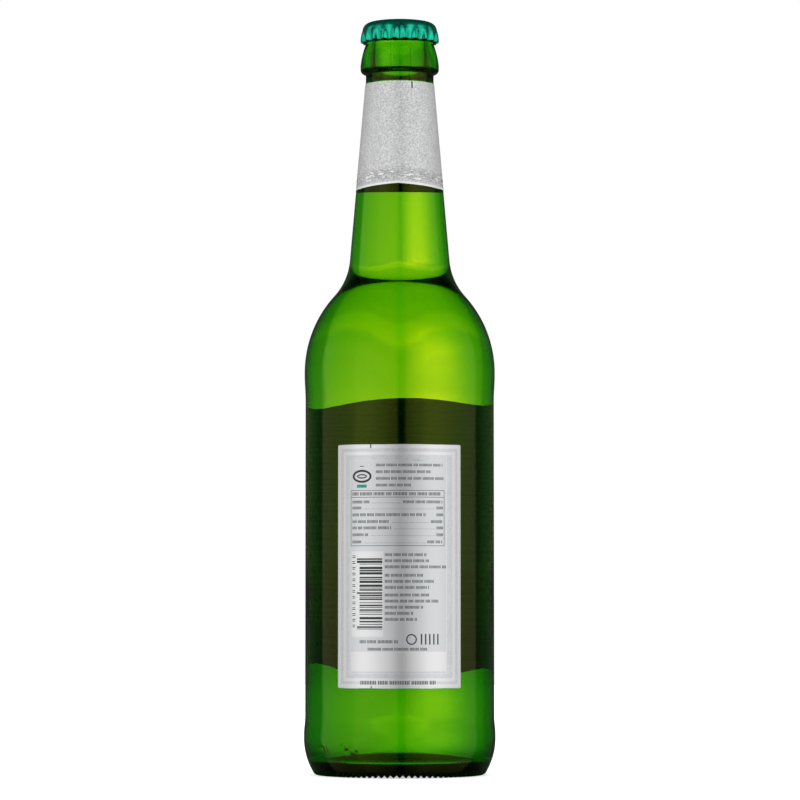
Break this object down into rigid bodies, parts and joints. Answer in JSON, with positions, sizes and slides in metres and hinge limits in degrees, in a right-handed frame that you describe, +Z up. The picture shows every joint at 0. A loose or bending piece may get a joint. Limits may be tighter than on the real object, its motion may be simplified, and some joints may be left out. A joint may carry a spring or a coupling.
{
  "type": "full glass beer bottle",
  "caption": "Full, unopened long-neck beer bottle of green glass with a crimped crown cap, a paper neck band, an oval front label and a rectangular back label.",
  "frame": {"origin": "centre of the base, on the surface the bottle stands on", "axes": "+Z up along the bottle's axis, -Y towards the back label, +Y towards the front label"},
  "size_m": [0.0686, 0.0686, 0.2707],
  "materials": {
    "green_glass": "clear green container glass, glossy, with slight waves, a mould seam and a knurled base edge",
    "pale_beer": "clear pale golden lager",
    "cap_lacquer": "glossy metallic teal lacquer on tinplate",
    "silver_paper": "satin metallised paper with a fine grain",
    "back_print": "satin metallised paper with plain grey fields, bars and frames",
    "front_print": "satin metallised paper with a plain oval frame"
  },
  "bodies": {
    "root": {"glass_bottle": "green_glass", "beer": "pale_beer", "crown_cap": "cap_lacquer", "neck_band": "silver_paper", "back_label": "back_print", "front_label": "front_print"}
  },
  "joints": []
}
